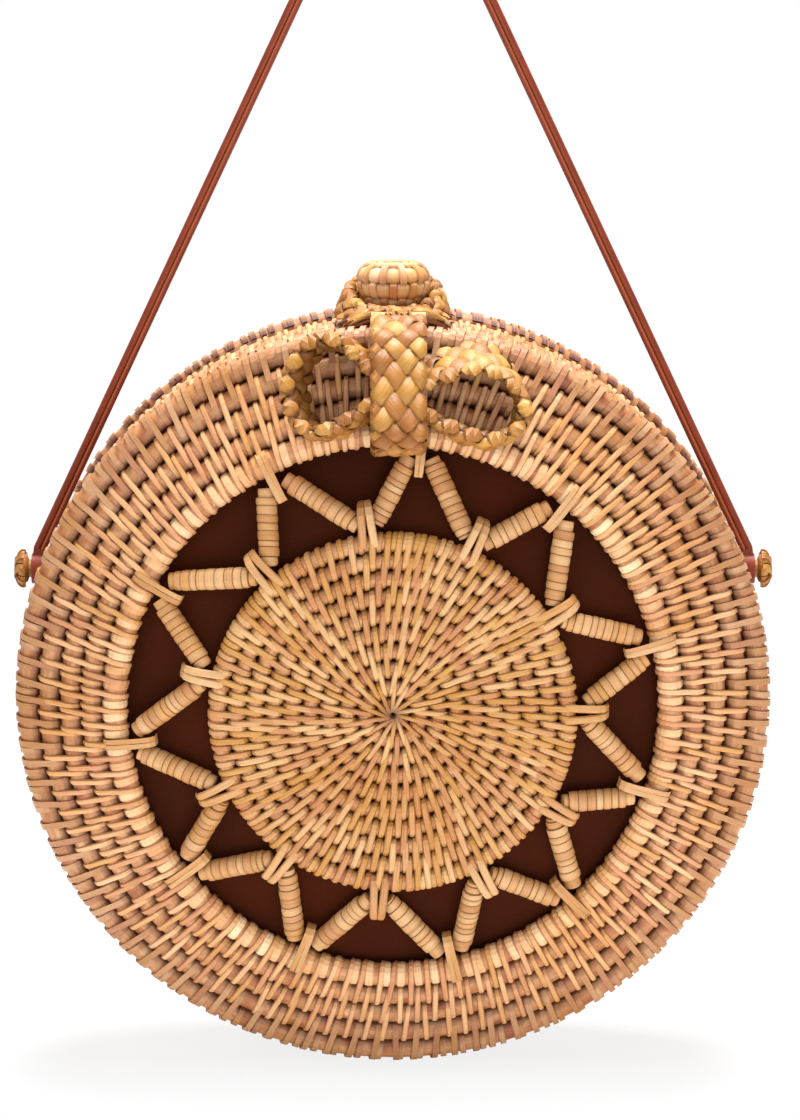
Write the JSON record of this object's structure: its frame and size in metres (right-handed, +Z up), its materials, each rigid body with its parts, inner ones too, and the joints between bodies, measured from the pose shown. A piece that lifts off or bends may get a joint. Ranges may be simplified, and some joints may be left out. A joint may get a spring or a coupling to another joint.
{
  "type": "round shoulder bag",
  "caption": "Round clamshell shoulder bag of coiled cane with an open star face, a straw bow that loops over a knob, and a thin leather strap.",
  "frame": {"origin": "spot under the top of the strap where a hook carries the bag", "axes": "+X to the bag's right as seen from the front, +Y from the front face to the back face, +Z up"},
  "size_m": [0.2046, 0.0885, 0.3317],
  "materials": {
    "coiled_cane": "split cane coils, natural, dry satin",
    "wrapped_cane": "cane wrapped in peel, satin",
    "cane_peel": "flat cane peel, satin",
    "plaited_straw": "golden plaited straw, soft sheen",
    "lining_cloth": "plain dark brown woven cloth",
    "strap_leather": "red-brown rolled leather, satin"
  },
  "bodies": {
    "strap": {"strap_cord": "strap_leather", "strap_eye_left": "strap_leather", "strap_eye_right": "strap_leather"},
    "back_half": {"back_side_wall": "coiled_cane", "back_face_ring": "coiled_cane", "back_rosette": "coiled_cane", "back_star_bars": "wrapped_cane", "back_outer_lashings": "cane_peel", "back_inner_lashings": "cane_peel", "back_lining_panel": "lining_cloth", "back_lining_strip": "lining_cloth", "hinge_back_loops": "cane_peel", "knob_stem": "wrapped_cane", "knob_head": "wrapped_cane", "strap_stud_left": "plaited_straw", "strap_stud_right": "plaited_straw"},
    "front_half": {"front_side_wall": "coiled_cane", "front_face_ring": "coiled_cane", "front_rosette": "coiled_cane", "front_star_bars": "wrapped_cane", "front_outer_lashings": "cane_peel", "front_inner_lashings": "cane_peel", "front_lining_panel": "lining_cloth", "front_lining_strip": "lining_cloth", "hinge_cane": "wrapped_cane", "hinge_front_loops": "cane_peel", "bow_left_loop": "plaited_straw", "bow_right_loop": "plaited_straw", "bow_band": "plaited_straw", "bow_pin": "wrapped_cane"},
    "closure": {"closure_loop": "plaited_straw"}
  },
  "joints": [
    {"name": "bag_swing", "type": "hinge", "parent": "strap", "child": "back_half", "pos_m": [0, 0, -0.19406], "axis": [1, 0, 0], "range_deg": [-28, 22]},
    {"name": "front_open", "type": "hinge", "parent": "back_half", "child": "front_half", "pos_m": [0, -0.0059, -0.32506], "axis": [1, 0, 0], "range_deg": [0, 90], "deforming": ["closure_loop"]},
    {"name": "loop_lift", "type": "hinge", "parent": "front_half", "child": "closure", "pos_m": [0, -0.0284, -0.12176], "axis": [1, 0, 0], "range_deg": [0, 100]}
  ]
}
